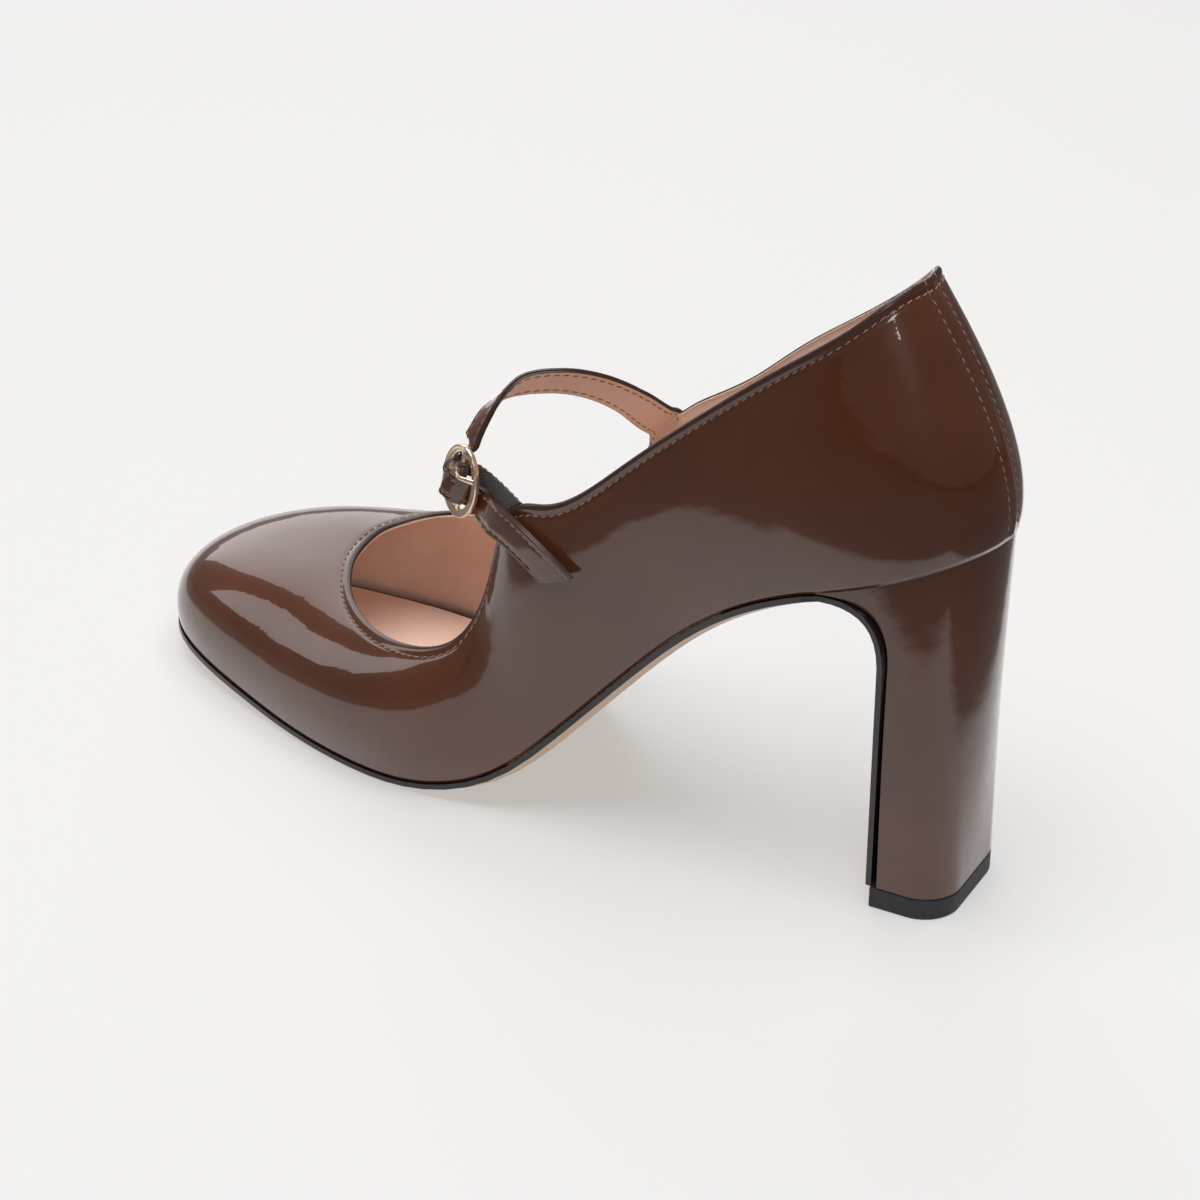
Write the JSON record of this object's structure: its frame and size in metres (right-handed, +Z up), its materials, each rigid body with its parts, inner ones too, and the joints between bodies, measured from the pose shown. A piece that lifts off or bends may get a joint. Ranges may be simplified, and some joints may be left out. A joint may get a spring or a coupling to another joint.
{
  "type": "mary jane pump",
  "caption": "High block-heel mary jane pump for a left foot: shiny leather upper open at the throat, one buckled instep strap, nude lining, thin leather sole.",
  "frame": {"origin": "middle of the shoe's bounding box on the floor it stands on", "axes": "+X to the toe, +Y to the outer side of the foot, +Z up"},
  "size_m": [0.229, 0.0784, 0.1514],
  "materials": {
    "patent": "high gloss patent",
    "lining": "matte",
    "sole": "satin, dark painted edge",
    "rubber": "matte",
    "metal": "pale gold, polished",
    "elastic": "knit"
  },
  "bodies": {
    "root": {"upper": "patent", "strap": "patent", "insole": "patent", "sock": "lining", "outsole": "sole", "heel_block": "patent", "top_lift": "rubber", "buckle_ring": "metal", "buckle_prong": "metal", "buckle_loop": "elastic"}
  },
  "joints": []
}
